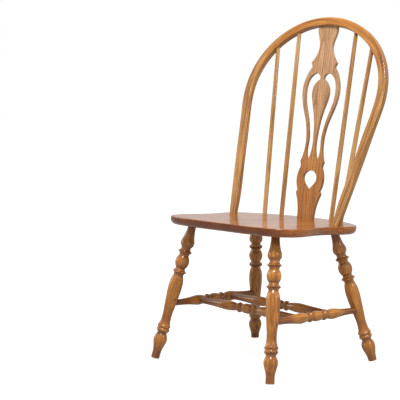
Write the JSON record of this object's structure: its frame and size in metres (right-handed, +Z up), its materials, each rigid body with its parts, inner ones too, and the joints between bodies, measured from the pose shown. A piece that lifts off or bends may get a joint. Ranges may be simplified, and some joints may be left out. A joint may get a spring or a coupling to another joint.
{
  "type": "wheelback chair",
  "caption": "Bow-back wooden side chair with a pierced keyhole splat between slim spindles, a flat waisted seat, and splayed turned legs joined by turned stretchers.",
  "frame": {"origin": "on the floor, at the middle of the chair's width and of its depth", "axes": "+Z up, the chair faces -Y, +X to the sitter's left"},
  "size_m": [0.57, 0.5495, 1.0445],
  "materials": {
    "seat_wood": "honey-stained oak, satin lacquer",
    "bow_wood": "honey-stained oak, satin lacquer",
    "splat_wood": "honey-stained oak, satin lacquer",
    "spindle_wood": "honey-stained oak, satin lacquer",
    "leg_wood": "honey-stained oak, satin lacquer",
    "stretcher_wood": "honey-stained oak, satin lacquer",
    "screw_steel": "bright zinc",
    "pin_steel": "driven in, under a stained filler"
  },
  "bodies": {
    "root": {"seat": "seat_wood", "bow": "bow_wood", "splat": "splat_wood", "spindle_outer_left": "spindle_wood", "spindle_inner_left": "spindle_wood", "spindle_inner_right": "spindle_wood", "spindle_outer_right": "spindle_wood", "leg_front_left": "leg_wood", "leg_front_right": "leg_wood", "leg_rear_left": "leg_wood", "leg_rear_right": "leg_wood", "side_stretcher_left": "stretcher_wood", "side_stretcher_right": "stretcher_wood", "cross_stretcher_front": "stretcher_wood", "cross_stretcher_rear": "stretcher_wood", "bow_screws": "screw_steel", "splat_pin": "pin_steel"}
  },
  "joints": []
}
